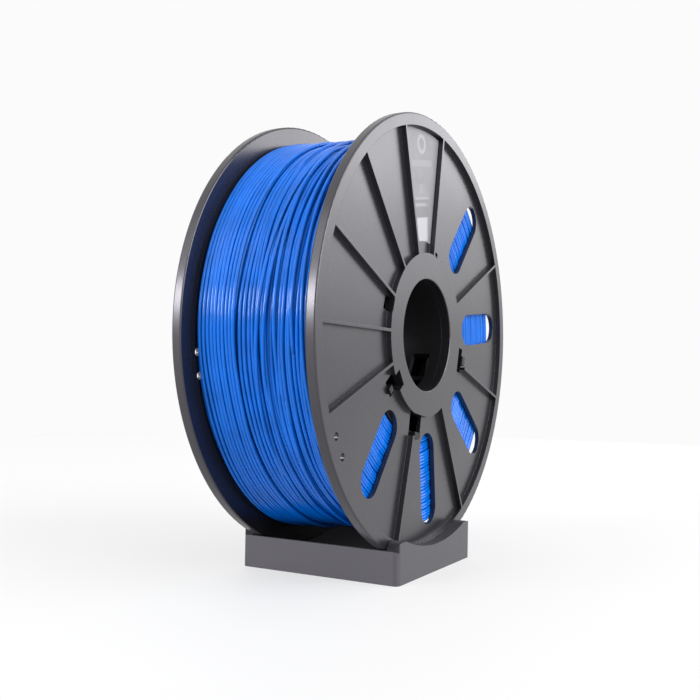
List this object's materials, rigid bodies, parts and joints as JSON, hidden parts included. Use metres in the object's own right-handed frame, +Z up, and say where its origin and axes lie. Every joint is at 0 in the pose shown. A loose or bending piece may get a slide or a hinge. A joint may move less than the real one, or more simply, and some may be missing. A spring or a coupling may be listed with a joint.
{
  "type": "filament spool",
  "caption": "Two-flange spool wound with plastic filament, resting in a low cradle stand that it turns in.",
  "frame": {"origin": "middle of the stand's underside, straight below the middle of the spool", "axes": "+Z up; +Y along the spool's axis, from the labelled front flange to the rear flange; +X to the right when the front flange is seen"},
  "size_m": [0.2, 0.079, 0.2068],
  "materials": {
    "flange": "satin charcoal moulded plastic",
    "drum": "satin near-black moulded plastic",
    "filament": "glossy blue extruded strand, wound in close layers",
    "label": "matt coated paper, pale grey, with plain printed marks",
    "stand": "matt dark grey plastic"
  },
  "bodies": {
    "stand": {"stand": "stand"},
    "spool": {"front_flange": "flange", "rear_flange": "flange", "drum": "drum", "filament": "filament", "label": "label"}
  },
  "joints": [
    {"name": "spool_spin", "type": "hinge", "parent": "stand", "child": "spool", "pos_m": [0, 0, 0.1068], "axis": [0, 1, 0], "continuous": true}
  ]
}
